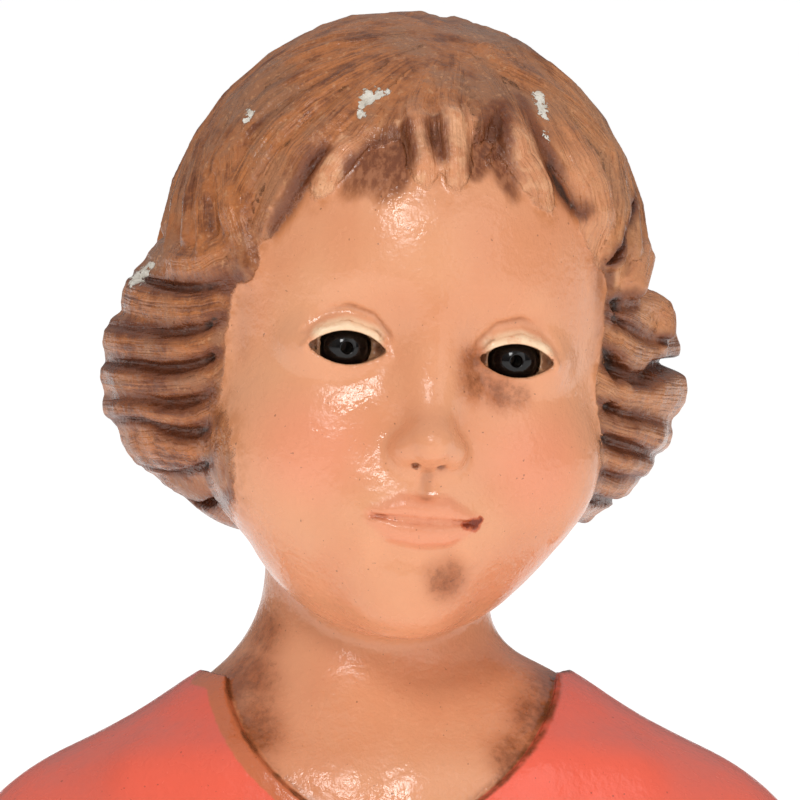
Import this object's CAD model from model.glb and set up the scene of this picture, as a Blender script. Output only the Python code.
"""Looks of a child's bust in painted and varnished plaster.

The moulding is one closed surface, found on a fine grid from signed distances in millimetres that use the
same named sizes as the part's solids, with the strands of the hair added. Chips and dirt are paint.
"""

import math
from functools import reduce

import bpy
import numpy as np
from mathutils import Matrix, Vector


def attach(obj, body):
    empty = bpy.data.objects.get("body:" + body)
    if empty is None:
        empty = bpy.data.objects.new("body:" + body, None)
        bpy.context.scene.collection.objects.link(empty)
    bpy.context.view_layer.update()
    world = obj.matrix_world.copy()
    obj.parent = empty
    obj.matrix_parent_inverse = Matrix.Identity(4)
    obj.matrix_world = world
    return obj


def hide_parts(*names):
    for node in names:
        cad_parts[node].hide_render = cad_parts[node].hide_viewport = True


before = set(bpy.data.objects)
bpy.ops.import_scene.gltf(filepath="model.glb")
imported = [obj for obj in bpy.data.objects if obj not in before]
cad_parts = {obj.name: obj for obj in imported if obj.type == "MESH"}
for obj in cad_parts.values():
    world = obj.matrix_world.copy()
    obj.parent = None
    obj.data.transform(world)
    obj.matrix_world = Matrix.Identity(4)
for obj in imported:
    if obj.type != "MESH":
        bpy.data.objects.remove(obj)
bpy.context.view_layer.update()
MM = 0.001

# Sizes of the figure, as in the part.
HEAD_HEIGHT = 66.0
SHOULDER_WIDTH = 101.0
NECK_PIT_HEIGHT = 40.0
NECK_DIAMETER = 26.0
NECK_LENGTH = 39.5
ROBE_THICKNESS = 1.1
BEAD_DIAMETER = 5.6
BEAD_HOLE_DIAMETER = 1.3
BEAD_CLEARANCE = 0.3
HEAD_ROLL = 5.4
HEAD_TURN = 8.5
HEAD_NOD = -3.0
HEAD_SHIFT = -2.0
UNIT = HEAD_HEIGHT / 66
SHARE = SHOULDER_WIDTH / 100
NECK_BACKSET = 6 * SHARE

# How fine the grid is, how many triangles are kept, and the room that the grid fills.
CELL = 0.4
TRIANGLES = 196000
GRID_LOW = (-54, -36, -2)
GRID_HIGH = (54, 42, 119)

# The camera: in front, a few degrees above, far off with a long lens. The distances are in metres.
VIEWER_HEIGHT = 6.0
RISE = math.radians(VIEWER_HEIGHT)
VIEW_MIDDLE = Vector((0.0017, 0, 0.0719))
VIEW_DISTANCE = 0.8
VIEW_WIDTH = 0.09
SENSOR_WIDTH = 36


def add_object(name, data):
    made = bpy.data.objects.new(name, data)
    bpy.context.scene.collection.objects.link(made)
    return made


def aim(made, place, target):
    made.location = place
    made.rotation_euler = (target - place).to_track_quat("-Z", "Y").to_euler()


def make_camera():
    data = bpy.data.cameras.new("camera")
    camera = add_object("camera", data)
    bpy.context.scene.camera = camera
    off = Vector((0, -math.cos(RISE), math.sin(RISE))) * VIEW_DISTANCE
    aim(camera, VIEW_MIDDLE + off, VIEW_MIDDLE)
    data.sensor_width = SENSOR_WIDTH
    data.lens = SENSOR_WIDTH * VIEW_DISTANCE / VIEW_WIDTH
    data.clip_start = 0.05
    data.clip_end = 20


make_camera()

# Signed distances over arrays of points.
FAR_OFF = 1e3


def smooth_min(a, b, k):
    h = np.maximum(k - np.abs(a - b), 0) / k
    return np.minimum(a, b) - h * h * (k / 4)


def smooth_max(a, b, k):
    return -smooth_min(-a, -b, k)


def smooth_step(low, high, v):
    t = np.clip((v - low) / (high - low), 0, 1)
    return t * t * (3 - 2 * t)


def power_sum(a, b, power):
    return (a**power + b**power) ** (1 / power)


def unit(v):
    return v / np.linalg.norm(v)


def ellipsoid(x, y, z, shape):
    cx, cy, cz, rx, ry, rz = shape
    a, b, c = (x - cx) / rx, (y - cy) / ry, (z - cz) / rz
    near = np.sqrt(a * a + b * b + c * c)
    slope = np.sqrt((a / rx) ** 2 + (b / ry) ** 2 + (c / rz) ** 2)
    return near * (near - 1) / np.maximum(slope, 1e-9)


def from_stroke(x, y, z, a, b):
    """The share along a stroke that each point is nearest to, the radius there, and the way out to it."""
    dx, dy, dz = b[0] - a[0], b[1] - a[1], b[2] - a[2]
    t = ((x - a[0]) * dx + (y - a[1]) * dy + (z - a[2]) * dz) / (dx * dx + dy * dy + dz * dz)
    t = np.clip(t, 0, 1)
    return t, a[3] + (b[3] - a[3]) * t, x - a[0] - dx * t, y - a[1] - dy * t, z - a[2] - dz * t


def chain(x, y, z, points):
    """Balls, each a place and a radius, with strokes from each to the next."""
    least = np.full(x.shape, FAR_OFF, x.dtype)
    for a, b in zip(points, points[1:]):
        _, radius, ox, oy, oz = from_stroke(x, y, z, a, b)
        least = np.minimum(least, np.sqrt(ox * ox + oy * oy + oz * oz) - radius)
    return least


def build(d, x, y, z, forms):
    """Joins forms on both sides to a distance, or cuts them from it where their softness is below 0."""
    side = np.abs(x)
    for kind, sizes, soft in forms:
        form = kind(side, y, z, sizes)
        d = smooth_min(d, form, soft) if soft > 0 else smooth_max(d, -form, -soft)
    return d


# The head, placed on the neck.
def turn(axis, degrees):
    return np.array(Matrix.Rotation(math.radians(degrees), 4, axis))


def move(x, y, z):
    return np.array(Matrix.Translation((x, y, z)))


HEAD_PLACE = (
    move(HEAD_SHIFT, NECK_BACKSET, NECK_PIT_HEIGHT)
    @ turn("Y", HEAD_ROLL)
    @ move(0, -6 * UNIT, NECK_LENGTH)
    @ turn("Z", HEAD_TURN)
    @ turn("X", HEAD_NOD)
    @ np.diag([UNIT, UNIT, UNIT, 1.0])
)
TO_HEAD = np.linalg.inv(HEAD_PLACE)


def into_head(x, y, z):
    return [TO_HEAD[r, 0] * x + TO_HEAD[r, 1] * y + TO_HEAD[r, 2] * z + TO_HEAD[r, 3] for r in range(3)]


# The bare head, in head units.
CRANIUM = (0, 3.5, 9, 24, 30, 24)
MIDFACE = (0, -4, -8, 20.5, 21, 22)
JAW = (0, -10.5, -20, 15, 14.2, 12.9)
CHEEK = (10.4, -14, -13, 9.2, 9.6, 9.4)
CHIN = (0, -19.4, -27.6, 5.8, 5.2, 4.6)
EYE = (9.4, -0.9)
SOCKET = (9.6, -28.6, 0.2, 7.4, 5.4, 5)
LIDS = (9.4, -18.4, -1, 6.8, 6.1, 4.6)
NOSE_BRIDGE = ((0, -23.4, 2.6, 1.6), (0, -24.9, -4, 1.7), (0, -27.5, -9.4, 2))
NOSE_TIP = (0, -28.2, -10.4, 2.3, 2.8, 2.2)
NOSE_WING = (2.5, -26.4, -11.2, 1.6, 2.3, 1.5)
NOSTRIL = (1.4, -27.4, -12.9, 0.7, 1, 0.6)
MUZZLE = (0, -19.4, -18.8, 9.4, 7.4, 7)
SKULL_FORMS = ((ellipsoid, MIDFACE, 9), (ellipsoid, JAW, 7))
FACE_FORMS = (
    (ellipsoid, CHEEK, 6), (ellipsoid, CHIN, 4), (ellipsoid, SOCKET, -4), (ellipsoid, LIDS, 1.6),
    (chain, NOSE_BRIDGE, 4), (ellipsoid, NOSE_TIP, 2.2), (ellipsoid, NOSE_WING, 1.4),
    (ellipsoid, NOSTRIL, -0.6), (ellipsoid, MUZZLE, 5),
)


def face(x, y, z):
    d = build(ellipsoid(x, y, z, CRANIUM), x, y, z, SKULL_FORMS)
    near = (y <= 0) & (d <= 12)
    if near.any():
        d[near] = build(d[near], x[near], y[near], z[near], FACE_FORMS)
    return d


def front_of(x, z):
    """Where the face lies in front of a point given as across and up."""
    y = -50.0
    for _ in range(60):
        d = float(face(np.array([x]), np.array([y]), np.array([z]))[0])
        if d <= 0.01:
            break
        y += d * 0.7
    return y


def on_face(points):
    return [(x, front_of(x, z) + depth, z, radius) for x, z, depth, radius in points]


UPPER_LID = on_face(
    [(5, -1.6, 0.1, 0.4), (6.6, 0.6, 0, 0.6), (9.6, 1.4, 0, 0.7), (12.3, 0.6, 0, 0.6), (14, -1.2, 0.1, 0.4)]
)
LID_CREASE = on_face(
    [(5, 0.6, 0, 0.2), (7, 2.7, -0.1, 0.3), (9.6, 3.4, -0.1, 0.35), (12, 2.7, -0.1, 0.3), (14, 0.8, 0, 0.2)]
)
UPPER_LIP = on_face([(0, -17.7, 0.5, 1), (2.2, -17.5, 0.45, 1), (5.3, -18.7, 0.3, 0.5)])
LOWER_LIP = on_face([(0, -20.2, 0.75, 1.3), (2.6, -20.1, 0.6, 1), (5, -19.1, 0.3, 0.4)])
MOUTH_LINE = on_face([(0, -18.95, -0.35, 0.3), (2.6, -18.85, -0.3, 0.28), (5.6, -18.7, 0, 0.25)])
PHILTRUM = on_face([(0, -14.2, -0.3, 0.4), (0, -16, -0.3, 0.5)])
CHIN_FOLD = on_face([(0, -23.3, -0.7, 1), (3.4, -23.1, -0.6, 0.9)])
SMALL_FORMS = (
    (chain, UPPER_LID, 0.5), (chain, LID_CREASE, -0.8), (chain, PHILTRUM, -1.4), (chain, CHIN_FOLD, -2.4),
    (chain, UPPER_LIP, 1), (chain, LOWER_LIP, 1), (chain, MOUTH_LINE, -0.6),
)

# The eye: an almond opening down to the eyeball, and the bead's seat.
EYE_OPENING = (4.3, 1.9, 1.8)  # half its width, and how far it goes up and down
EYEBALL = (EYE[0], -17.5, EYE[1], 5.6, 5.6, 5.6)
BEAD_FRONT = -23.6


def bare_head(x, y, z):
    d = face(x, y, z)
    near = (y <= -12) & (np.abs(d) <= 6)
    if near.any():
        d[near] = build(d[near], x[near], y[near], z[near], SMALL_FORMS)
    return d


def almond(x, z):
    """How far outside the eye's opening a place is, seen from in front. Two arcs meet in its corners."""
    half, above, below = EYE_OPENING
    up = z - EYE[1]
    arcs = []
    for rise, over in ((above, up), (below, -up)):
        radius = (half**2 + rise**2) / (2 * rise)
        arcs.append(np.hypot(np.abs(x) - EYE[0], over + radius - rise) - radius)
    return smooth_max(*arcs, 0.3)


def bead_place(sign):
    front = HEAD_PLACE @ np.array([sign * EYE[0], BEAD_FRONT, EYE[1], 1.0])
    return front[:3] + HEAD_PLACE[:3, 1] / UNIT * (BEAD_DIAMETER / 2)


def socket(hx, hy, hz):
    """The opening of both eyes, in head units."""
    opening = smooth_max(almond(hx, hz), -ellipsoid(np.abs(hx), hy, hz, EYEBALL), 0.2)
    return np.maximum(opening, hy - EYEBALL[1])


# The mass of the hair under its locks.
HAIR_CAP = (0.3, 4, 7.4, 26.2, 31.5, 28)
BOB = {"middle": (2, 8, -6.4), "half": (32.2, 25.8, 16.4), "power": 2.5, "slope": 19}
BOB_FLATS = ((0.786, -0.618, 31.5), (-0.62, -0.785, 32.3))  # flats below, each as across, up and how far out
HAIR_BLEND = 5
FACE_OPENING = {"half": (21.9, 25.5), "low": -3, "taper": 0.28, "power": 2.6, "back": -3, "blend": 2.2}


def hair_mass(x, y, z):
    mid, half = BOB["middle"], BOB["half"]
    ring = np.hypot((x - mid[0]) / half[0], (y - mid[1]) / half[1])
    bob = (power_sum(ring, np.abs(z - mid[2]) / half[2], BOB["power"]) - 1) * BOB["slope"]
    for across, up, out in BOB_FLATS:
        bob = smooth_max(bob, across * x + up * z - out, HAIR_BLEND)
    mass = smooth_min(ellipsoid(x, y, z, HAIR_CAP), bob, HAIR_BLEND)
    half = FACE_OPENING["half"]
    across, up = np.abs(x), z - FACE_OPENING["low"]
    above = power_sum(across / half[0], np.maximum(up, 0) / half[1], FACE_OPENING["power"])
    opening = np.where(up < 0, across - half[0] - up * FACE_OPENING["taper"], (above - 1) * half[0])
    cut = smooth_max(opening, y - FACE_OPENING["back"], 3)
    return smooth_max(mass, -cut, FACE_OPENING["blend"])


# Locks start from the heart of the head, along ways to its surface.
HEART = np.array([0.0, 2.0, 2.0])
OUTSIDE = 60  # farther from the heart than the hair reaches
MARCH_SHARE = 0.7  # how much of the distance left each step goes
MARCH_END = 0.02


def march(start, way, reach, proud=0.0):
    """Walks points along their ways until they are as near to the head or its hair as is asked."""
    p = start.copy()
    gone = np.zeros(len(p))
    for _ in range(80):
        d = np.minimum(bare_head(*p.T), hair_mass(*p.T)) - proud
        step = np.where((d > MARCH_END) & (gone < reach), d * MARCH_SHARE, 0)
        if not step.any():
            break
        p += way * step[:, None]
        gone += step
    return p


def towards(azimuth, elevation):
    a, e = math.radians(azimuth), math.radians(elevation)
    return np.array([math.sin(a) * math.cos(e), -math.cos(a) * math.cos(e), math.sin(e)])


# The viewer's own axes with the head's lean taken out: back, right and over.
VIEW_BACK = np.array([0, math.cos(RISE), -math.sin(RISE)])
VIEW_RIGHT = np.array(Matrix.Rotation(math.radians(HEAD_ROLL), 3, Vector(VIEW_BACK)) @ Vector((1, 0, 0)))
VIEW_OVER = np.cross(VIEW_RIGHT, VIEW_BACK)
VIEW_START = 70  # in front of the head's middle
VIEW_REACH = 90
SEEN_PROUD = 0.8


def seen(across, up):
    """The way to where a viewer in front sees the hair so far across and up from the head's middle."""
    middle = HEAD_PLACE[:3, 3] + (VIEW_RIGHT * across + VIEW_OVER * up) * UNIT
    first = np.array(into_head(*(middle - VIEW_BACK * VIEW_START * UNIT)))
    way = unit(np.array(into_head(*middle)) - first)
    return unit(march(first[None], way[None], VIEW_REACH, SEEN_PROUD)[0] - HEART)


def ways(places):
    return [seen(*place) for place in places]


def catmull_rom(points, t):
    """The centripetal curve through points, at t from 0 to 1."""
    at = t * (len(points) - 1)
    n = min(int(at), len(points) - 2)
    w = at - n
    p1, p2 = points[n], points[n + 1]
    p0 = points[n - 1] if n > 0 else 2 * points[0] - points[1]
    p3 = points[n + 2] if n + 2 < len(points) else 2 * points[-1] - points[-2]
    d0, d1, d2 = (max(np.linalg.norm(b - a), 1e-4) ** 0.5 for a, b in ((p0, p1), (p1, p2), (p2, p3)))
    t1 = ((p1 - p0) / d0 - (p2 - p0) / (d0 + d1) + (p2 - p1) / d1) * d1
    t2 = ((p2 - p1) / d1 - (p3 - p1) / (d1 + d2) + (p3 - p2) / d2) * d1
    c2 = -3 * p1 + 3 * p2 - 2 * t1 - t2
    c3 = 2 * p1 - 2 * p2 + t1 + t2
    return p1 + t1 * w + c2 * w * w + c3 * w**3


def spread(values, t):
    """Values at equal steps from 0 to 1, read at t."""
    return np.interp(t, np.linspace(0, 1, len(values)), values)


def vary(n):
    """A fixed number from -1 to 1 for each n."""
    v = math.sin(n * 127.1 + 11.7) * 43758.5453
    return 2 * (v - math.floor(v)) - 1


LOCK_STEPS = 9
LOCK_SHARES = np.arange(LOCK_STEPS + 1) / LOCK_STEPS
LOCK_REACH = 3.0  # how far from a lock its effect ends


def lock(way, radii, lift=(-1, -0.6), swing=0.0, fair=0.0, carve=1.0):
    """A lock through a row of ways. fair says how pale its end is, carve how deep its strands are cut."""
    outs = []
    for t in LOCK_SHARES:
        at = catmull_rom(way, t)
        tangent = catmull_rom(way, min(t + 1e-4, 1)) - catmull_rom(way, max(t - 1e-4, 0))
        outs.append(unit(at + unit(np.cross(tangent, at)) * swing * math.sin(2 * math.pi * t)))
    outs = np.array(outs)
    middle = march(HEART + outs * OUTSIDE, -outs, OUTSIDE) + outs * spread(lift, LOCK_SHARES)[:, None]
    radius = spread(radii, LOCK_SHARES)[:, None]
    aside = np.cross(np.gradient(middle, axis=0), outs)
    steps = np.linalg.norm(np.diff(middle, axis=0), axis=1)
    return {
        "points": np.hstack([middle, radius]),
        "outs": outs,
        "low": (middle - radius).min(0) - LOCK_REACH,
        "high": (middle + radius).max(0) + LOCK_REACH,
        "aside": aside / np.linalg.norm(aside, axis=1)[:, None],
        "along": np.concatenate([[0], np.cumsum(steps)]),
        "fair": fair,
        "carve": carve,
    }


PARTING = seen(3, 34)

# Short locks over the forehead, each from the parting through places seen from in front, with its radii,
# how far it stands off the head from its start to its tip, which sinks into the skin, and how pale it is.
FRINGE = (
    (((-9.7, 23), (-13.4, 18.2), (-16.2, 12.7), (-18.4, 8.6)),
     (0.6, 2.4, 3.3, 3.4, 2.8, 1.4), (-0.6, 0.8, 1.4, 1.5, 1, -0.2), 0.25),
    (((-11.4, 19.8), (-14.5, 14.4), (-16.6, 9.4)), (0.4, 0.8, 1.2, 1.2, 0.5), (-1, 0.2, 1.1, 1.3, 0), 1),
    (((-6.1, 22.5), (-8.5, 19.5), (-9.8, 16.5), (-10.3, 14)),
     (0.5, 1.2, 2, 2.2, 1.9, 1), (-0.9, 0.2, 1.4, 1.5, 0.8, -0.4), 1),
    (((-3.4, 23.4), (-4, 20.6), (-4.4, 18.6)), (0.4, 0.6, 0.7, 0.4), (-0.8, 0, 0.3, -0.2), 0.1),
    (((-0.6, 25.6), (-0.1, 22.8), (0.8, 19.5), (1.5, 16.2)),
     (0.5, 1.2, 1.8, 1.9, 1.8, 1), (-0.9, 0.3, 1.6, 1.9, 1.3, -0.3), 1),
    (((2.9, 26), (3.5, 23.4), (4.1, 19.8), (4.8, 16)),
     (0.5, 1.3, 1.9, 2.1, 1.9, 1), (-0.9, 0.3, 1.7, 2, 1.4, -0.3), 1),
    (((8, 24.4), (8, 21.6), (8.3, 19)), (0.4, 0.6, 0.8, 0.4), (-0.8, 0, 0.5, -0.2), 0.1),
    (((9.4, 26), (11.1, 22.2), (13.2, 18.7), (15.2, 15)),
     (0.6, 1.7, 2.4, 2.7, 2.6, 1.6), (-0.6, 0.5, 1.3, 1.6, 1.2, -0.3), 0.8),
    (((15, 27.3), (18.1, 22.6), (20.7, 18.1), (22, 14), (21.4, 9.6)),
     (0.6, 2, 3.2, 3.8, 3.6, 2.2), (-0.6, 0.6, 1.3, 1.4, 0.9, -0.4), 0.65),
)

# Long locks from the parting over the front of the cap to the temples.
SWEEPS = (
    ((-9, 28), (-17.6, 18.4), (-20.6, 8.6)), ((-8, 30.8), (-19.6, 22), (-24, 9.4)),
    ((-6, 33), (-18, 27), (-26.4, 12)), ((9.6, 31), (19.8, 25), (25.6, 16)),
    ((6.6, 33.2), (17.4, 29.6), (27.2, 19)),
)
CAP_LOCKS = 22
NAPE_LOCKS = 11


def fringe_locks():
    return [
        lock([PARTING, *ways(places)], radii, np.subtract(proud, radii), fair=fair, carve=1 - 0.6 * fair)
        for places, radii, proud, fair in FRINGE
    ]


def sweep_locks():
    lift = (-1.2, -1.6, -2, -1.9, -1.6)
    return [
        lock([PARTING, *ways(way)], (0.6, 2.2, 3.2, 3.2 + 0.3 * vary(n + 600), 2), lift)
        for n, way in enumerate(SWEEPS)
    ]


def cap_locks():
    """Locks from the parting round the back of the cap, those at the sides ending higher."""
    locks = []
    for i in range(CAP_LOCKS):
        azimuth = 50 + 260 * i / (CAP_LOCKS - 1) + 3 * vary(i)
        behind = abs(180 - azimuth) < 60
        low = 6 if behind else 14 if azimuth > 180 else 21
        middle = towards(azimuth + (180 - azimuth) * 0.25, 62)
        way = [PARTING, middle, towards(azimuth, low + 3 * vary(i + 40))]
        radii = (0.6, 2.4, 3.3 + 0.5 * vary(i + 80), 3, 1.8)
        ends = (-1.9, -1.6) if behind else (-1.6, -0.2)
        locks.append(lock(way, radii, (-0.9, -1.5, -2.1, *ends), 0.04 * vary(i + 120)))
    return locks


# Grooves between the tiers beside the face, each with its width, how far it stands off beside the head,
# and where it is seen from in front, from the face outwards. Those without a width only bound the tiers.
TIER_GROOVES = {
    -1: (
        (0, 0, (-16, 8.2), (-19.8, 7.6), (-24.1, 7), (-26.7, 6.1)),
        (0.4, 2.6, (-18.1, 4.2), (-22, 3.1), (-25.7, 2.8), (-28.2, 3.4)),
        (0.5, 2.9, (-20.5, -0.1), (-22.1, -1.4), (-25.4, -2.3), (-28.8, -2)),
        (0.5, 2.2, (-20.7, -4.3), (-21.8, -5.3), (-25.6, -6.5), (-29.2, -6)),
        (0.5, 2.9, (-20.5, -8.5), (-21.9, -9.6), (-24.9, -10.4), (-28.2, -9.7)),
        (0.6, 2, (-20.2, -12.4), (-22.1, -13.6), (-24.9, -13.5), (-28, -12.2)),
        (0.4, 2.2, (-19, -15.8), (-21.2, -17.4), (-24.2, -18), (-26.4, -17.2)),
        (0.3, 2.2, (-16.8, -19.4), (-19, -20.6), (-21.5, -20.3), (-23.6, -19.4)),
        (0, 0, (-14.1, -22.6), (-16.8, -22.4), (-19.6, -22)),
    ),
    1: (
        (0, 0, (23.7, 6.6), (26.4, 6.2), (28.4, 5)),
        (0.45, 3.4, (23.6, 4.5), (26.3, 3), (28.4, 2)),
        (0.75, -2, (23.4, 0.2), (25.1, -1.5), (28, -2.7), (30, -0.8)),
        (0.4, 2.2, (23.6, -6.1), (26.4, -6.8), (29.3, -7)),
        (0.7, 1.8, (23.5, -9.4), (25.6, -10.2), (28.4, -10.7)),
        (0.3, 2.2, (23.2, -13.2), (25.4, -13.9), (28.2, -13.6)),
        (0.65, 1.5, (21.9, -16.5), (24.3, -16.9), (26.4, -16.4)),
        (0.5, 1.5, (20.1, -20.3), (22.1, -19.8), (23.7, -19.2)),
        (0, 0, (19.7, -21.8), (21.5, -21.6), (23.2, -20.9)),
    ),
}
TIER_TURN = 104  # azimuth that the tiers pass beside the head
TIER_END = 126  # azimuth behind which they end

# How far each tier stands off the mass of the hair beside the head, from the top down.
TIER_PROUD = {-1: (2, 2.6, 2.8, 2.6, 2.6, 2, 1.6, 1.2), 1: (2.2, 0.6, 0.9, 1.6, 1.7, 1.5, 0.9, 0.7)}


def tier_curves(sign):
    """Each groove's width, stand-off and ways, carried on level round the side of the head."""
    curves = []
    for width, outer, *places in TIER_GROOVES[sign]:
        row = ways(places)
        elevation = math.degrees(math.asin(row[-1][2]))
        row += [towards(sign * azimuth, elevation) for azimuth in (TIER_TURN, TIER_END)]
        curves.append((width, outer, row))
    return curves


def side_rolls(sign):
    """Locks combed back from the face in tiers, each filling the room between two grooves."""
    locks = []
    curves = [row for _, _, row in tier_curves(sign)]
    for upper, lower, proud in zip(curves, curves[1:], TIER_PROUD[sign]):
        way = [unit(catmull_rom(upper, t) + catmull_rom(lower, t)) for t in (0, 0.25, 0.5, 0.75, 1)]
        room = np.linalg.norm(catmull_rom(upper, 0.5) - catmull_rom(lower, 0.5)) * BOB["half"][0] * 0.9
        radii = room * np.array([0.6, 0.66, 0.74, 0.9, 0.8])
        locks.append(lock(way, radii, (-0.6, 0.8, 0.4 + 0.5 * proud, proud, -0.2) - radii, carve=0.4))
    return locks


def temple_locks():
    """Locks that fall over the temples. Those towards +X lie over the tiers and end in a curl."""

    def fall(places, radii, lift, fair):
        return lock(ways(places), radii, lift, fair=fair, carve=0.7)

    return [
        fall([(16.1, 30.4), (22, 23.8), (25, 19), (26.2, 14.4), (26, 10.6), (25.5, 7.8)],
             (0.8, 2, 2.3, 2.3, 1.9), (-1.2, -1, -0.6, 0, 0.4), 0.5),
        fall([(20.2, 28.4), (24.6, 21.8), (26.6, 16.6), (27, 12)],
             (0.8, 2.2, 2.8, 1.8), (-1, -0.6, 0.1, -1), 0.2),
        fall([(24.8, 6.8), (26.8, 6.2), (28.6, 4.8), (29.4, 2.6)],
             (1.2, 1.9, 2.4, 2), (-1.4, -0.5, 0.9, 0.8), 0.3),
        lock([towards(-48, 20), towards(-66, 10), towards(-100, 10)],
             (1, 2.6, 3, 2.4), (-1.2, -1.2, -1.3, -1.2)),
    ]


# Single cuts of the gouge, seen from in front, each with its width and how far its middle stands off.
CUTS = (
    (1.5, 0.3, (-2.2, 21.9), (-3.9, 19.3), (-5.8, 17.1), (-7, 15.2)),
    (1.3, 0.3, (-1.9, 21.4), (-2.2, 19.2), (-3, 16.7), (-3.6, 15)),
    (0.9, 0.3, (8.6, 26), (8.1, 22.6), (6.6, 18.6)),
    (0.4, 0.6, (8.4, 23.6), (9.6, 19.2), (11.3, 16.4)),
    (0.25, 1.2, (1.5, 23.5), (1.9, 21.4), (2.6, 19.5)),
    (0.75, 0.2, (11.4, 27.6), (13.7, 23.3), (15.7, 20.6), (17.6, 17.2), (18.9, 15.1)),
    (0.4, 0.6, (-10.3, 19.4), (-12.2, 15.6), (-13.8, 12.3), (-15.2, 9.8)),
    (0.4, 0.6, (24.5, 17.5), (24.1, 13.6), (23.4, 10.3)),
    (0.8, 0.7, (23.7, 5.9), (25, 5.4), (26.2, 5.6)),
)
CUT_LEAN = 0.3  # how much the sides of a cut lean apart
FADED_LIFT = 1.2  # how far off the head a groove ends, so that it fades out


def gouges():
    cuts = [
        lock(ways(places), (0.2 * width, width, width, 0.2 * width), (lift, lift))
        for width, lift, *places in CUTS
    ]
    for sign, start in ((-1, 0.5), (1, 0.2)):
        for width, outer, row in tier_curves(sign):
            if width:
                radii = width * np.array([0.5, 1, 1, 0.7, 0.4, 0.2])
                lift = (start, 0.3, 0.5, 0.4 + 0.5 * outer, outer, max(outer, FADED_LIFT))
                cuts.append(lock(row, radii, lift))
    return cuts


def nape_locks():
    locks = []
    for i in range(NAPE_LOCKS):
        azimuth = 120 + 120 * i / (NAPE_LOCKS - 1) + 1.5 * vary(i + 400)
        way = [towards(azimuth, 16), towards(azimuth, -14), towards(azimuth + 3 * vary(i + 420), -40)]
        radii = (1.4, 3 + 0.3 * vary(i + 460), 3, 1.8)
        locks.append(lock(way, radii, (-1.4, -1.8, -1.4, -0.8), 0.06 + 0.02 * vary(i + 480)))
    return locks


LOCKS = cap_locks() + sweep_locks() + nape_locks() + side_rolls(1) + side_rolls(-1)
LOCKS += temple_locks() + fringe_locks()
GOUGES = gouges()
LOCK_BLEND = 0.7
GOUGE_BLEND = 0.5

# Strands carved along each lock.
STRAND_WIDTH = 1.45
BROAD_STRAND = 2.3 * STRAND_WIDTH
STRAND_DEPTH = 0.34


def along_lock(x, y, z, one):
    """Distance to a lock, with how far along and aside of its middle each point lies, and its share."""
    points, asides, reach = one["points"], one["aside"], one["along"]
    least = np.full(x.shape, FAR_OFF, x.dtype)
    along, across, share = (np.zeros_like(least) for _ in range(3))
    for i in range(LOCK_STEPS):
        a, b = points[i], points[i + 1]
        t, radius, ox, oy, oz = from_stroke(x, y, z, a, b)
        off = np.sqrt(ox * ox + oy * oy + oz * oz) - radius
        closer = off < least
        s = unit(asides[i] + asides[i + 1])
        least = np.where(closer, off, least)
        across = np.where(closer, ox * s[0] + oy * s[1] + oz * s[2], across)
        along = np.where(closer, reach[i] + (reach[i + 1] - reach[i]) * t, along)
        share = np.where(closer, (i + t) / LOCK_STEPS, share)
    return least, along, across, share


def strands(along, across, seed):
    """How deep the strand grooves are cut at a place on a lock, from 0 to 1."""
    drift = 0.35 * np.sin(along * 0.35 + seed * 2.1)
    fine = np.abs(np.sin(np.pi * (across + drift + seed * 0.37) / STRAND_WIDTH))
    broad = np.abs(np.sin(np.pi * (across - drift + seed * 0.61) / BROAD_STRAND))
    return 0.6 * (1 - fine) + 0.4 * (1 - broad) ** 1.3


def groove(x, y, z, one):
    """Distance to a cut that is open outwards."""
    least = np.full(x.shape, FAR_OFF, x.dtype)
    for a, b, out_a, out_b in zip(one["points"], one["points"][1:], one["outs"], one["outs"][1:]):
        _, radius, ox, oy, oz = from_stroke(x, y, z, a, b)
        out = unit(out_a + out_b)
        high = np.maximum(ox * out[0] + oy * out[1] + oz * out[2], 0)
        off = np.sqrt(np.maximum(ox * ox + oy * oy + oz * oz - high * high, 0)) - CUT_LEAN * high
        least = np.minimum(least, off - radius)
    return least


def those_near(rows, x, y, z, close=True):
    """Each lock or cut with points in its box: its number, itself, their numbers and their places."""
    for n, one in enumerate(rows):
        (ax, ay, az), (bx, by, bz) = one["low"], one["high"]
        inside = (x > ax) & (x < bx) & (y > ay) & (y < by) & (z > az) & (z < bz)
        at = np.flatnonzero(close & inside)
        if len(at):
            yield n, one, at, (x[at], y[at], z[at])


def hair(x, y, z, carved=True):
    d = hair_mass(x, y, z)
    close = d <= 8
    for n, one, at, place in those_near(LOCKS, x, y, z, close):
        if carved:
            off, along, across, share = along_lock(*place, one)
            size = spread(one["points"][:, 3], share)
            off = off + STRAND_DEPTH * one["carve"] * strands(along, across, n) * smooth_step(0.5, 2, size)
        else:
            off = chain(*place, one["points"])
        d[at] = smooth_min(d[at], off, LOCK_BLEND)
    for _, one, at, place in those_near(GOUGES, x, y, z, close):
        d[at] = smooth_max(d[at], -groove(*place, one), GOUGE_BLEND)
    return d


def off_gouges(x, y, z):
    """How far a place is from the nearest cut of the gouge."""
    least = np.full(x.shape, LOCK_REACH, x.dtype)
    for _, one, at, place in those_near(GOUGES, x, y, z):
        least[at] = np.minimum(least[at], groove(*place, one))
    return least


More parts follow.
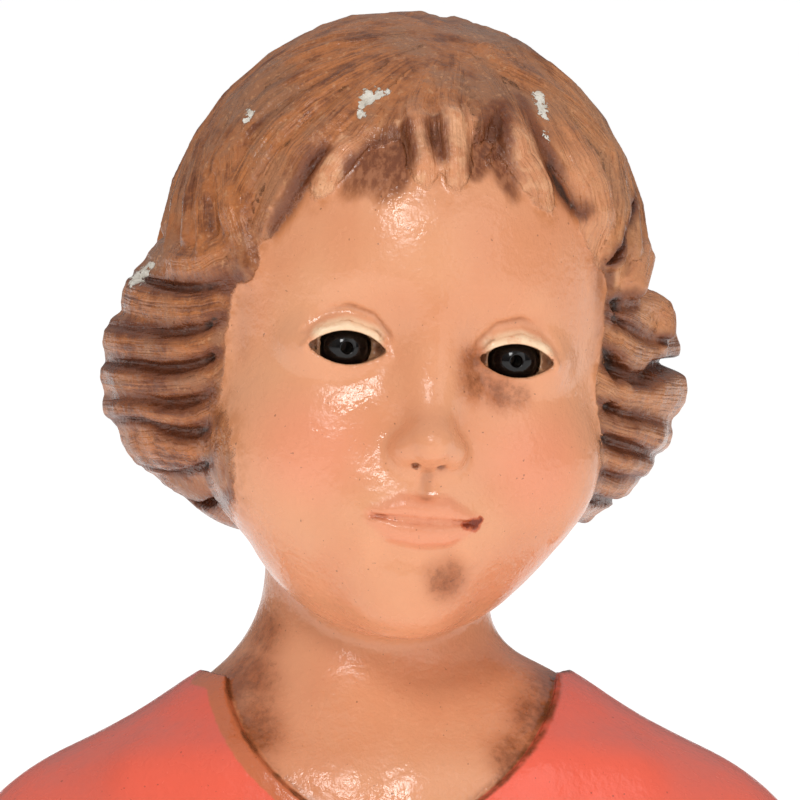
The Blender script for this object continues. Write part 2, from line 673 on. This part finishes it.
# The torso under the robe, in hundredths of the shoulder width, measured from the pit of the neck.
SHOULDER = (33.2, 3, -30, 16.2, 16.4, 19.5)
TRAPEZIUS = ((6, 6, -9.5, 11.5), (28, 4, -22.5, 11.5))
CHEST = (0, 0, -30, 34, 20, 32)
BACK = (0, 6, -29, 34, 18.5, 31)
COLLARBONE = ((4, -12.4, -9.5, 1), (17, -10.4, -8.6, 1.1), (26, -6, -9.4, 0.8))
ARMPIT = ((25.5, -16.2, -62, 2.4), (25, -15.6, -36, 1.8), (26.5, -18, -26, 0.4))
ARMPIT_BACK = ((26, 21.6, -62, 2.2), (26, 21.4, -42, 1.8), (27, 23, -29, 0.4))
TORSO_FORMS = (
    (ellipsoid, BACK, 12), (ellipsoid, SHOULDER, 9), (chain, TRAPEZIUS, 7), (chain, COLLARBONE, 5),
    (chain, ARMPIT, -5), (chain, ARMPIT_BACK, -5),
)


def from_pit(x, y, z):
    """Places in hundredths of the shoulder width, from the pit of the neck."""
    return x / SHARE, y / SHARE, (z - NECK_PIT_HEIGHT) / SHARE


def torso(x, y, z):
    x, y, z = from_pit(x, y, z)
    return build(ellipsoid(x, y, z, CHEST), x, y, z, TORSO_FORMS) * SHARE


NECK_TOP = HEAD_PLACE @ np.array([0, 5, -16, 1.0])
NECK = (
    (-1, NECK_BACKSET + 1, NECK_PIT_HEIGHT - 14, NECK_DIAMETER * 0.56),
    (-1.2, NECK_BACKSET, NECK_PIT_HEIGHT + 2, NECK_DIAMETER / 2),
    (*NECK_TOP[:3], NECK_DIAMETER * 0.48),
)
NECK_FLARE = (8, 4.5)  # how softly the neck meets the shoulders, towards -X and +X

# The neckline, in shoulder shares from the pit.
SCOOP = {"middle": 0.8, "half": (18.3, 15.2), "top": 0.2, "power": 1.5, "back": 8}
COLLAR = {"radii": (20.5, 16), "low": -6.5}


def neckline(x, y, z):
    x, y, z = from_pit(x, y, z)
    half = SCOOP["half"]
    across, down = np.abs(x - SCOOP["middle"]) / half[0], np.maximum(SCOOP["top"] - z, 0) / half[1]
    front = (power_sum(across, down, SCOOP["power"]) - 1) * half[0] * 0.8
    ring = np.hypot(x / COLLAR["radii"][0], (y - NECK_BACKSET / SHARE) / COLLAR["radii"][1])
    behind = (ring - 1) * COLLAR["radii"][1]
    return np.minimum(np.maximum(front, y - SCOOP["back"]), np.maximum(behind, COLLAR["low"] - z)) * SHARE


def parts(x, y, z, carved=True):
    """Signed distances of the skin, the robe and the hair."""
    body = torso(x, y, z)
    robe = smooth_max(body - ROBE_THICKNESS, -neckline(x, y, z), 0.5)
    hx, hy, hz = into_head(x, y, z)
    head = bare_head(hx, hy, hz) * UNIT
    flare = NECK_FLARE[0] + (NECK_FLARE[1] - NECK_FLARE[0]) * smooth_step(-8, 8, x)
    skin = smooth_min(smooth_min(body, chain(x, y, z, NECK), flare), head, 3)
    near = (hy < -10) & (np.abs(hz) < 14)
    if near.any():
        opening = socket(hx[near], hy[near], hz[near]) * UNIT
        cut = smooth_max(skin[near], -opening, 0.25)
        for sign in (-1, 1):
            px, py, pz = bead_place(sign)
            seat = np.sqrt((x[near] - px) ** 2 + (y[near] - py) ** 2 + (z[near] - pz) ** 2)
            cut = np.maximum(cut, BEAD_DIAMETER / 2 + BEAD_CLEARANCE - seat)
        skin[near] = cut
    return skin, robe, hair(hx, hy, hz, carved) * UNIT


# How softly the hair meets the skin: crisply at the fringe, filled in beside the face.
FRINGE_EDGE = 0.9
CHEEK_EDGE = 2.4


def bust(x, y, z, carved=True):
    skin, robe, locks = parts(x, y, z, carved)
    hx, _, hz = into_head(x, y, z)
    beside = smooth_step(12, 6, hz) * smooth_step(13, 17, np.abs(hx))
    edge = FRINGE_EDGE + (CHEEK_EDGE - FRINGE_EDGE) * beside
    d = smooth_min(smooth_min(skin, robe, 0.35), locks, edge)
    return smooth_max(d, -z, 0.5)


# The surface, from a grid that is only filled in near it. A block is this many cells wide.
BLOCK = 4
HALF_DIAGONAL = 0.87  # of a block, as a share of its width
STEEPEST = 1.25
STRAND_ROOM = 0.6
BATCH = 400000


def sample(low, counts, cell):
    axes = [low[a] + cell * np.arange(counts[a]) for a in range(3)]
    grid = np.meshgrid(*(axis[::BLOCK] for axis in axes), indexing="ij")
    shape = grid[0].shape
    first = bust(*(g.ravel().astype(np.float32) for g in grid), carved=False).reshape(shape)
    near = [np.clip((np.arange(n) + BLOCK // 2) // BLOCK, 0, s - 1) for n, s in zip(counts, shape)]
    values = first[np.ix_(*near)]
    flat = values.ravel()
    where = np.flatnonzero(np.abs(flat) < cell * BLOCK * HALF_DIAGONAL * STEEPEST + STRAND_ROOM)
    for piece in np.array_split(where, max(1, len(where) // BATCH)):
        spots = np.unravel_index(piece, values.shape)
        flat[piece] = bust(*(axis[n].astype(np.float32) for axis, n in zip(axes, spots)))
    return flat.reshape(values.shape)


CORNERS = [(n & 1, (n >> 1) & 1, (n >> 2) & 1) for n in range(8)]
CUBE_EDGES = [(n, n | bit) for n in range(8) for bit in (1, 2, 4) if not n & bit]


def surface(low, high, cell):
    """A vertex in each cell that the surface passes through, and a face across each edge that it cuts."""
    counts = [int(math.ceil((high[a] - low[a]) / cell)) + 1 for a in range(3)]
    values = sample(low, counts, cell)
    inside = values < 0
    nx, ny, nz = counts
    total = np.zeros((nx - 1, ny - 1, nz - 1), np.int8)
    for i, j, k in CORNERS:
        total += inside[i : nx - 1 + i, j : ny - 1 + j, k : nz - 1 + k]
    cells = np.argwhere((total > 0) & (total < 8))
    number = np.full(total.shape, -1, np.int32)
    number[tuple(cells.T)] = np.arange(len(cells))
    at = [values[tuple((cells + corner).T)] for corner in CORNERS]
    place = np.zeros((len(cells), 3))
    crossings = np.zeros(len(cells))
    for a, b in CUBE_EDGES:
        cross = (at[a] < 0) != (at[b] < 0)
        t = np.where(cross, at[a] / np.where(cross, at[a] - at[b], 1), 0)
        way = np.subtract(CORNERS[b], CORNERS[a])
        place += np.where(cross[:, None], CORNERS[a] + way * t[:, None], 0)
        crossings += cross
    place = np.array(low) + (cells + place / crossings[:, None]) * cell
    quads = []
    for axis in range(3):
        u, v = (axis + 1) % 3, (axis + 2) % 3
        edges = np.argwhere(np.diff(inside, axis=axis))
        beside = edges[:, [u, v]]
        edges = edges[((beside > 0) & (beside < (counts[u] - 1, counts[v] - 1))).all(1)]
        ring = []
        for du, dv in ((-1, -1), (0, -1), (0, 0), (-1, 0)):
            shift = np.zeros(3, int)
            shift[[u, v]] = du, dv
            ring.append(number[tuple((edges + shift).T)])
        ring = np.column_stack(ring)
        out = inside[tuple(edges.T)]
        quads.append(np.where(out[:, None], ring, ring[:, ::-1]))
    return settle(place, cell), np.concatenate(quads)


def settle(place, cell, e=0.03):
    """Moves vertices along the steepest way onto the surface."""
    d = bust(*place.T)
    slope = np.column_stack([(bust(*(place + e * axis).T) - d) / e for axis in np.eye(3)])
    steep = np.maximum((slope**2).sum(1), 0.25)
    shift = -slope * (d / steep)[:, None]
    far = np.linalg.norm(shift, axis=1)
    return place + shift * np.minimum(1, cell / 2 / np.maximum(far, 1e-9))[:, None]


def mesh_of(name, place, faces):
    mesh = bpy.data.meshes.new(name)
    mesh.from_pydata((place * MM).tolist(), [], faces.tolist())
    mesh.validate()
    return mesh


def make_bust():
    place, faces = surface(GRID_LOW, GRID_HIGH, CELL)
    made = add_object("painted_bust", mesh_of("painted_bust", place, faces))
    made.modifiers.new("thin", "DECIMATE").ratio = min(1, TRIANGLES / (2 * len(faces)))
    depsgraph = bpy.context.evaluated_depsgraph_get()
    small = bpy.data.meshes.new_from_object(made.evaluated_get(depsgraph))
    made.modifiers.clear()
    made.data = small
    small.shade_smooth()
    return made


# What the paint follows, worked out at each vertex.
HEAD_ROUND = 28  # radius of the head where no lock is near
TIP_FADE = 12  # how fast the edge of a lock fades in from its ends
STREAK_SHIFT = 3.7  # keeps the streaks of one lock apart from those of the next


def nearest_lock(hx, hy, hz):
    """Across, along and the number of the nearest lock, how pale it is, and how far off its edge is."""
    least, second = np.full(hx.shape, 4.0), np.full(hx.shape, 4.0)
    across = np.arctan2(hx, -hy) * HEAD_ROUND
    along = hz.astype(float)
    number = np.full(hx.shape, -1.0)
    pale, inner = np.zeros(hx.shape), np.zeros(hx.shape)
    for n, one, at, place in those_near(LOCKS, hx, hy, hz):
        off, far, aside, share = along_lock(*place, one)
        second[at] = np.minimum(second[at], np.maximum(off, least[at]))
        closer = off < least[at]
        at, off, far, aside, share = (values[closer] for values in (at, off, far, aside, share))
        least[at], across[at], along[at], number[at] = off, aside, far, n
        pale[at] = one["fair"] * smooth_step(0.2, 0.5, share)
        inner[at] = TIP_FADE * np.minimum(share, 1 - share)
    return across, along, number, pale, np.minimum(np.minimum(second - least, 1.5 - least), inner)


def smudge(across, up, spots):
    """How strongly soft round spots, each a place with a radius, cover a point."""
    most = np.zeros(across.shape)
    for middle_x, middle_z, radius in spots:
        off = np.hypot(across - middle_x, up - middle_z)
        most = np.maximum(most, smooth_step(radius, 0.2 * radius, off))
    return most


# Soft spots by their places across and up: on the face from the head's middle, on the neck from the base.
CHEEK_SPOTS = ((-12.6, -12, 9), (12.6, -12, 9))
FACE_GRIME = ((4.4, -1.2, 2.8), (5, -3.4, 3.6), (7.8, -4.4, 3), (10, -4.6, 2.2), (3.4, -25.2, 3.8))
NECK_GRIME = (
    (-14.4, 46, 5), (-15.6, 41, 6), (-14.4, 36, 5), (18.6, 40.5, 4.6), (17, 37, 5), (14.2, 33.4, 4),
)
SORE_SPOTS = ((5.7, -18.9, 1.2), (4.8, -19, 0.8), (6.4, -18.4, 0.7))


def guides_at(x, y, z, rate):
    """What the paint depends on, in millimetres or as shares."""
    skin, robe, locks = parts(x, y, z, carved=False)
    hx, hy, hz = into_head(x, y, z)
    side = np.abs(hx)
    front = hy < 0
    steep = np.clip(rate(0.12), 0.5, 1.2)
    edge = neckline(x, y, z)
    neck_grime = smudge(x, z, NECK_GRIME) * smooth_step(9, -3, y)
    return {
        "hair_edge": locks - np.minimum(skin, robe),
        "robe_edge": np.maximum(robe - skin - 2.5, -0.1 - edge),
        "neck_edge": edge,
        "band": edge + 3 * smooth_step(-4, 2, hx) + 3 * smooth_step(0, 6, y),
        "fine_hollow": 1 - rate(0.5) / steep,
        "wide_hollow": 1 - rate(1.8) / steep,
        "ridge": 1 - rate(-0.7) / steep,
        "gouge": off_gouges(hx, hy, hz),
        "lips": np.minimum(chain(side, hy, hz, UPPER_LIP), chain(side, hy, hz, LOWER_LIP)),
        "mouth": chain(side, hy, hz, MOUTH_LINE),
        "lid": chain(side, hy, hz, UPPER_LID[1:4]),
        "eye_edge": np.where(front & (np.abs(hz) < 8), almond(hx, hz), 9),
        "cheeks": smudge(hx, hz, CHEEK_SPOTS) * front,
        "grime": np.maximum(smudge(hx, hz, FACE_GRIME) * front, neck_grime),
        "sore": smudge(hx, hz, SORE_SPOTS) * front,
        "side": hx,
        "height": z,
        "over": np.where(front, hz, -30),
    }


def store_guides(mesh):
    place, normal = (np.empty(len(mesh.vertices) * 3, np.float32) for _ in range(2))
    mesh.vertices.foreach_get("co", place)
    mesh.vertex_normals.foreach_get("vector", normal)
    place, normal = place.reshape(-1, 3) / MM, normal.reshape(-1, 3)
    x, y, z = place.T.copy()
    across, along, number, pale, seam = nearest_lock(*into_head(x, y, z))

    def rate(far):
        """How fast the distance grows along the normal."""
        return bust(*(place + normal * far).T) / far

    guides = {**guides_at(x, y, z, rate), "pale": pale, "seam": seam}
    # Low beside the face, towards +X, the paint of the hair ends with its locks.
    low_right = smooth_step(0, 6, guides["side"]) * smooth_step(76, 68, z) * smooth_step(2, -6, y)
    guides["hair_edge"] += 3 * smooth_step(0.4, -0.6, seam) * low_right
    for name, values in guides.items():
        layer = mesh.attributes.new(name, "FLOAT", "POINT")
        layer.data.foreach_set("value", np.asarray(values, np.float32))
    strand = np.column_stack([across, along, number * STREAK_SHIFT]).astype(np.float32)
    mesh.attributes.new("strand", "FLOAT_VECTOR", "POINT").data.foreach_set("vector", strand.ravel())


class Paint:
    """A node material, built one node at a time. Each call gives back the socket that carries its result.

    A name given as a value stands for the guide of that name.
    """

    def __init__(self, owner, shader="Principled BSDF"):
        self.owner = owner
        owner.use_nodes = True
        self.tree = owner.node_tree
        self.shader = self.tree.nodes[shader]
        self.place = self.add("ShaderNodeTexCoord", "Object", {})

    def join(self, value, socket):
        value = self.guide(value) if isinstance(value, str) else value
        if isinstance(value, bpy.types.NodeSocket):
            self.tree.links.new(value, socket)
        else:
            socket.default_value = value

    def add(self, kind, output, inputs, **settings):
        node = self.tree.nodes.new(kind)
        for key, value in settings.items():
            setattr(node, key, value)
        for key, value in inputs.items():
            self.join(value, node.inputs[key])
        return node.outputs[output]

    def set(self, **inputs):
        for name, value in inputs.items():
            self.join(value, self.shader.inputs[name.replace("_", " ")])

    def guide(self, name, output="Fac"):
        return self.add("ShaderNodeAttribute", output, {}, attribute_name=name)

    def stretch(self, vector, scale):
        return self.add("ShaderNodeMapping", "Vector", {"Vector": vector, "Scale": scale})

    def noise(self, scale, detail=2.0, rough=0.5, vector=None):
        vector = self.place if vector is None else vector
        inputs = {"Vector": vector, "Scale": scale, "Detail": detail, "Roughness": rough}
        return self.add("ShaderNodeTexNoise", "Fac", inputs)

    def math(self, operation, *values):
        return self.add("ShaderNodeMath", 0, dict(enumerate(values)), operation=operation)

    def times(self, *values):
        return reduce(lambda one, two: self.math("MULTIPLY", one, two), values)

    def plus(self, *values):
        return reduce(lambda one, two: self.math("ADD", one, two), values)

    def vector(self, operation, output, one, two):
        return self.add("ShaderNodeVectorMath", output, {0: one, 1: two}, operation=operation)

    def part(self, axis, vector):
        return self.add("ShaderNodeSeparateXYZ", axis, {0: vector})

    def shaken(self, value, noise, reach):
        """A value moved up and down by a noise, by at most half the reach."""
        return self.math("MULTIPLY_ADD", noise, reach, self.plus(value, -reach / 2))

    def step(self, value, low, high, start=0.0, end=1.0):
        """A smooth step from start to end as the value goes from low to high."""
        inputs = {"Value": value, "From Min": low, "From Max": high, "To Min": start, "To Max": end}
        return self.add("ShaderNodeMapRange", "Result", inputs, interpolation_type="SMOOTHSTEP")

    def mix(self, share, one, two):
        one, two = ((*value, 1) if isinstance(value, tuple) else value for value in (one, two))
        return self.add("ShaderNodeMix", 2, {0: share, 6: one, 7: two}, data_type="RGBA")

    def coats(self, colour, *rest):
        """A colour under coats of paint, each given as the share of it that shows and its own colour."""
        for share, coat in rest:
            colour = self.mix(share, colour, coat)
        return colour

    def blend(self, share, one, two):
        return self.add("ShaderNodeMix", 0, {0: share, 2: one, 3: two}, data_type="FLOAT")


# Paint colours.
BROWN_DARK = (0.17, 0.046, 0.013)
BROWN = (0.5, 0.17, 0.052)
BROWN_GREY = (0.26, 0.13, 0.075)
TAN = (0.58, 0.27, 0.125)
CREAM = (0.96, 0.57, 0.32)
UMBER = (0.03, 0.011, 0.005)
GRIT = (0.3, 0.22, 0.18)
SIENNA = (0.15, 0.037, 0.012)
SKIN = (0.76, 0.345, 0.18)
SKIN_DEEP = (0.71, 0.285, 0.14)
CHEEK_PINK = (0.8, 0.29, 0.16)
FRINGE_PINK = (0.66, 0.27, 0.125)
LIP = (0.78, 0.25, 0.14)
LID = (0.98, 0.8, 0.54)
EYEBALL_TAN = (0.52, 0.28, 0.15)
STAIN = (0.36, 0.09, 0.02)
GRIME = (0.1, 0.026, 0.005)
SORE = (0.19, 0.022, 0.002)
SORE_EDGE = (0.5, 0.085, 0.02)
CORAL = (0.88, 0.13, 0.075)
CORAL_DULL = (0.78, 0.12, 0.07)
DUST = (0.42, 0.19, 0.17)
BORDER = (0.55, 0.16, 0.06)
CREASE = (0.12, 0.038, 0.012)
PLASTER = (0.82, 0.77, 0.68)
PLASTER_DULL = (0.62, 0.55, 0.46)

# Heights in the head between which the fringe begins.
FRINGE_START = (6, 11)

# Chips down to the white plaster: places across and up as seen from in front, with their radii.
CHIPS = (
    (-5.9, 25.5, 0.85), (-4.9, 25.8, 0.6), (-6.4, 24.5, 0.5), (-6.5, 23.5, 0.35), (-3.9, 26.2, 0.3),
    (-18.9, 22.6, 0.45), (-19.1, 21.9, 0.4),
    (12.6, 27.8, 0.4), (12.9, 27.1, 0.6), (13.4, 26.1, 0.6), (13.7, 25.4, 0.35), (14, 22.9, 0.4),
    (-30, 3.5, 0.75), (-29.2, 4.3, 0.6), (-28.6, 5, 0.4), (-30.5, 2.9, 0.5),
)
CHIPPED_FRONT = 6.0  # how far back the chips go
BUMP_DEPTH = 0.00012  # metres


def behind_share(m):
    """How much of the dark paint is left: less behind the ears."""
    return m.step(m.part("Y", m.place), 6 * MM, 20 * MM, 1, 0.25)


def hanging(m):
    """A noise drawn out downwards."""
    return m.noise(1500, 3, 0.6, m.stretch(m.place, (1, 1, 0.15)))


def hair_paint(m, speckle):
    strand = m.guide("strand", "Vector")
    whole = m.step("seam", 0.1, 0.7)
    streak = m.blend(whole, 0.5, m.noise(1, 3, 0.65, m.stretch(strand, (1.5, 0.06, 1))))
    thread = m.blend(whole, 0.5, m.noise(1, 3, 0.6, m.stretch(strand, (4.5, 0.2, 1))))
    clumps = m.noise(220, 4, 0.7)
    tone = m.plus(m.times(streak, 0.35), m.times(thread, 0.2), m.times(clumps, 0.45))
    worn = m.plus(m.step("ridge", 0.08, 0.45, 0, 0.8), m.step("side", 6, 22, 0, 0.6))
    pale = m.times("pale", m.step("gouge", 0.2, 1))
    lit = m.times(m.step("ridge", 0, 0.3, 0.4, 1), m.step(m.noise(500, 3, 0.6), 0.42, 0.58))
    flecks = m.times(m.step(m.noise(1500, 2, 0.6), 0.58, 0.68), m.step(clumps, 0.4, 0.6, 0.2, 0.7))
    deep = m.step(m.shaken("wide_hollow", speckle, 0.3), 0.3, 0.75, 0, 0.85)
    return m.coats(
        m.mix(m.step(tone, 0.4, 0.56), BROWN_DARK, BROWN),
        (m.step(m.noise(110, 4, 0.65), 0.48, 0.62, 0, 0.6), BROWN_GREY),
        (m.times(worn, m.step(thread, 0.3, 0.6)), TAN),
        (m.times(pale, m.step(streak, 0.3, 0.55, 0.7, 1)), FRINGE_PINK),
        (m.times(m.step(pale, 0.5, 0.9), lit, 0.75), CREAM),
        (m.times(m.step(thread, 0.6, 0.72), m.blend(pale, 0.35, 0.15)), SIENNA),
        (flecks, TAN),
        (m.step("fine_hollow", 0.1, 0.5, 0, 0.8), SIENNA),
        (m.times(deep, m.step("gouge", 2.5, 0.5, 0.4, 1), behind_share(m)), UMBER),
    )


def skin_paint(m, speckle):
    drips = hanging(m)
    roots = m.times(m.step(m.shaken("gouge", drips, 3.2), 1.9, 0.3), m.step("over", *FRINGE_START))
    fleck = m.noise(1300, 4, 0.7)
    sore = m.shaken("sore", fleck, 0.9)
    return m.coats(
        m.mix(m.step(m.noise(60, 3), 0.35, 0.7), SKIN, SKIN_DEEP),
        (m.times("cheeks", 0.8), CHEEK_PINK),
        (m.times(m.step("hair_edge", 1.6, 0), m.step(speckle, 0.4, 0.65, 0.1, 0.6)), BROWN),
        (m.times(roots, m.step(drips, 0.35, 0.6, 0.5, 1), 0.8), BROWN),
        (m.step("lips", 1.1, 0, 0, 0.45), LIP),
        (m.times(m.step("mouth", 0.25, -0.25), m.step(speckle, 0.35, 0.6, 0.4, 0.8)), SORE_EDGE),
        (m.times(m.step("lid", 1, 0), m.step(speckle, 0.3, 0.55, 0.4, 1), 0.65), LID),
        (m.step("eye_edge", 0.15, -0.05), EYEBALL_TAN),
        (m.times("grime", m.step(m.noise(260, 3), 0.3, 0.6, 0.5, 1), 0.8), STAIN),
        (m.step(m.shaken("grime", fleck, 2.4), 0.4, 1.7, 0, 0.6), GRIME),
        (m.step("wide_hollow", 0.2, 0.7, 0, 0.5), SIENNA),
        (m.step(sore, 0.1, 0.5, 0, 0.85), SORE_EDGE),
        (m.step(sore, 0.5, 0.9), SORE),
    )


def groove_paint(m, colour, speckle):
    """Dark paint left in the cuts of the gouge, only in the hair and under the fringe."""
    fringe = m.step("over", *FRINGE_START)
    among = m.times(m.math("MAXIMUM", m.step("hair_edge", 0.3, -0.4), fringe), behind_share(m))
    middle = m.times(fringe, m.step("side", -13, -11), m.step("side", 9.5, 8))
    off = m.plus(m.shaken("gouge", speckle, 0.6), m.times(middle, -0.5))
    faded = m.times(m.step(hanging(m), 0.38, 0.62, 0.65, 1), m.step("over", 14.5, 18, 0.35, 1))
    core = m.times(m.step(off, 0.15, -0.35), m.step("wide_hollow", 0.1, 0.45), m.blend(middle, 1, 0.25))
    core = m.times(core, among)
    return m.coats(
        colour,
        (m.times(m.step(off, 1.2, -0.2, 0, 0.9), among, m.blend(middle, 1, faded)), SIENNA),
        (core, UMBER),
        (m.times(core, m.step(m.noise(1100, 2, 0.6), 0.6, 0.72, 0, 0.5)), GRIT),
    )


def robe_paint(m, speckle):
    up = m.part("Z", m.add("ShaderNodeNewGeometry", "Normal", {}))
    patchy = m.step(m.noise(110, 4, 0.65), 0.3, 0.6, 0.35, 1)
    return m.coats(
        m.mix(m.step(m.noise(50, 3), 0.35, 0.7), CORAL, CORAL_DULL),
        (m.times(m.step(up, 0.5, 1), patchy, 0.35), DUST),
        (m.step(m.shaken("band", speckle, 0.5), 2.1, 1.8, 0, 0.9), BORDER),
    )


def crease_share(m, speckle):
    """The dirt along the neckline, thicker towards +X."""
    pit = NECK_PIT_HEIGHT
    width = m.times(m.step("side", -6, 8, 0.4, 0.8), m.step("height", pit - 13, pit - 2, 0.55, 1))
    off = m.math("ABSOLUTE", m.shaken("neck_edge", speckle, 0.5))
    low = m.step("height", pit + 14, pit + 10, 0, 0.9)
    patchy = m.step(m.noise(260, 3, 0.6), 0.35, 0.6, 0.25, 1)
    return m.times(m.step(m.math("DIVIDE", off, width), 1, 0.2), low, patchy)


def chip_share(m):
    """Where the paint is chipped off, from the places of the chips as seen from in front."""
    off = m.vector("SUBTRACT", 0, m.place, HEAD_PLACE[:3, 3] * MM)
    across, up = (m.vector("DOT_PRODUCT", 1, off, axis / MM / UNIT) for axis in (VIEW_RIGHT, VIEW_OVER))
    flat = m.add("ShaderNodeCombineXYZ", 0, {0: across, 1: up})
    least = 9.0
    for middle_x, middle_z, radius in CHIPS:
        far = m.vector("DISTANCE", 1, flat, (middle_x, middle_z, 0))
        least = m.math("MINIMUM", m.plus(far, -radius), least)
    on_front = m.step(m.part("Y", m.place), CHIPPED_FRONT * MM, (CHIPPED_FRONT - 1) * MM)
    ragged = m.shaken(least, m.noise(1100, 4, 0.7), 2.4)
    return m.times(m.step(ragged, 0.06, -0.04), on_front)


def painted_plaster():
    m = Paint(bpy.data.materials.new("painted_plaster"))
    speckle = m.noise(700, 4, 0.65)
    lumps = m.noise(800, 3, 0.55)
    is_hair = m.step(m.shaken("hair_edge", speckle, 1.2), 0.2, -0.2)
    colour = m.mix(m.step("robe_edge", 0.1, -0.1), skin_paint(m, speckle), robe_paint(m, speckle))
    colour = m.coats(colour, (crease_share(m, speckle), CREASE), (is_hair, hair_paint(m, speckle)))
    bare = chip_share(m)
    colour = m.coats(
        groove_paint(m, colour, speckle),
        (m.step(m.noise(2000, 1), 0.74, 0.8, 0, 0.45), UMBER),
        (bare, m.mix(m.step(lumps, 0.4, 0.7), PLASTER, PLASTER_DULL)),
    )
    cloud = m.noise(260, 3, 0.6)
    gloss = m.blend(is_hair, m.step(cloud, 0.35, 0.65, 0.14, 0.3), m.step(cloud, 0.35, 0.65, 0.2, 0.42))
    m.set(Base_Color=colour, Roughness=m.blend(bare, gloss, 0.85), IOR=1.46)
    thread = m.noise(1, 2, 0.5, m.stretch(m.guide("strand", "Vector"), (3.2, 0.16, 1)))
    thread = m.times(m.blend(m.step("seam", 0.1, 0.7), 0.5, thread), is_hair, 2.2)
    lumps = m.times(lumps, m.blend(is_hair, 0.9, 2.6))
    height = m.plus(lumps, m.times(m.noise(1600), 0.2), thread, m.times(bare, -0.8))
    bump = {"Strength": 1.0, "Distance": BUMP_DEPTH, "Height": height}
    m.set(Normal=m.add("ShaderNodeBump", "Normal", bump))
    return m.owner


def finish_piece(piece, node, material):
    piece.data.materials.append(material)
    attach(piece, "root")
    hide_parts(node)


painted = make_bust()
store_guides(painted.data)
finish_piece(painted, "bust", painted_plaster())

# The beads: drilled glass balls with rounded rims, the hole looking out of the face.
BEAD_RIM = 0.14
BEAD_SECTORS = 64
BALL_STEPS = 40
RIM_STEPS = 8
GLASS = (0.003, 0.002, 0.002)
GLASS_FILM = (0.008, 0.006, 0.004)


def bead_profile():
    """The outline of one half of a bead: distance from the hole's axis, and place along it."""
    radius, hole = BEAD_DIAMETER / 2, BEAD_HOLE_DIAMETER / 2
    middle = math.sqrt((radius - BEAD_RIM) ** 2 - (hole + BEAD_RIM) ** 2)
    lean = math.atan2(middle, hole + BEAD_RIM)
    outer = [(radius * math.cos(a), radius * math.sin(a)) for a in np.linspace(-lean, lean, BALL_STEPS)]
    turns = np.linspace(lean, math.pi, RIM_STEPS)[1:]
    upper = [(hole + BEAD_RIM + BEAD_RIM * math.cos(a), middle + BEAD_RIM * math.sin(a)) for a in turns]
    wall = [(hole, middle * share) for share in (0.5, 0, -0.5)]
    return np.array(outer + upper + wall + [(off, -along) for off, along in reversed(upper)])


def make_bead(name, sign):
    profile = bead_profile()
    right, back, over = (HEAD_PLACE[:3, axis] / UNIT for axis in range(3))
    rows = []
    for angle in 2 * math.pi * np.arange(BEAD_SECTORS) / BEAD_SECTORS:
        out = right * math.cos(angle) + over * math.sin(angle)
        rows.append(bead_place(sign) + profile @ np.array([out, back]))
    count = len(profile)
    row, spot = np.divmod(np.arange(BEAD_SECTORS * count), count)
    here, there, above = row * count, (row + 1) % BEAD_SECTORS * count, (spot + 1) % count
    faces = np.column_stack([here + spot, there + spot, there + above, here + above])
    mesh = mesh_of(name, np.concatenate(rows), faces)
    mesh.shade_smooth()
    return add_object(name, mesh)


def black_glass():
    m = Paint(bpy.data.materials.new("black_glass"))
    film = m.noise(900, 3, 0.6)
    m.set(
        Base_Color=m.mix(m.step(film, 0.45, 0.75), GLASS, GLASS_FILM),
        Roughness=m.step(film, 0.4, 0.7, 0.08, 0.22),
        IOR=1.4,
    )
    return m.owner


glass = black_glass()
for hand, sign in (("right", -1), ("left", 1)):
    finish_piece(make_bead(f"glass_eye_{hand}", sign), f"eye_bead_{hand}", glass)

# The floor and the lights, in metres.
FLOOR = ((-6, -4, 0), (6, -4, 0), (6, 14, 0), (-6, 14, 0))
FLOOR_GREY = 0.93
FLOOR_GLOW = 0.53
LIGHT_TARGET = Vector((0, 0, 0.07))
LIGHT_DISTANCE = 0.8
# Soft square lights: azimuth, 0 being in front and 90 towards +X, elevation, width and power.
LIGHTS = {"key": (-9, 31, 0.18, 1.9), "fill": (40, 18, 0.5, 1)}
# A grey room under a bright ceiling: how bright it is from the level up.
ROOM = {"From Min": 0, "From Max": 0.9, "To Min": 0.15, "To Max": 0.65}


def make_floor():
    mesh = bpy.data.meshes.new("floor")
    mesh.from_pydata(FLOOR, [], [(0, 1, 2, 3)])
    floor = add_object("floor", mesh)
    m = Paint(bpy.data.materials.new("floor"))
    m.set(
        Base_Color=(FLOOR_GREY, FLOOR_GREY, FLOOR_GREY, 1),
        Roughness=0.9,
        Emission_Color=(1, 1, 1, 1),
        Emission_Strength=FLOOR_GLOW,
    )
    mesh.materials.append(m.owner)


def make_lights():
    for name, (azimuth, elevation, width, power) in LIGHTS.items():
        data = bpy.data.lights.new(name, "AREA")
        data.energy = power
        data.size = width
        place = LIGHT_TARGET + LIGHT_DISTANCE * Vector(towards(azimuth, elevation))
        aim(add_object(name, data), place, LIGHT_TARGET)


def make_world():
    world = bpy.data.worlds.new("studio")
    bpy.context.scene.world = world
    m = Paint(world, "Background")
    up = m.part("Z", m.add("ShaderNodeTexCoord", "Generated", {}))
    m.set(Color=(1, 1, 1, 1), Strength=m.add("ShaderNodeMapRange", "Result", {"Value": up, **ROOM}))
    bpy.context.scene.view_settings.view_transform = "Standard"


make_floor()
make_lights()
make_world()
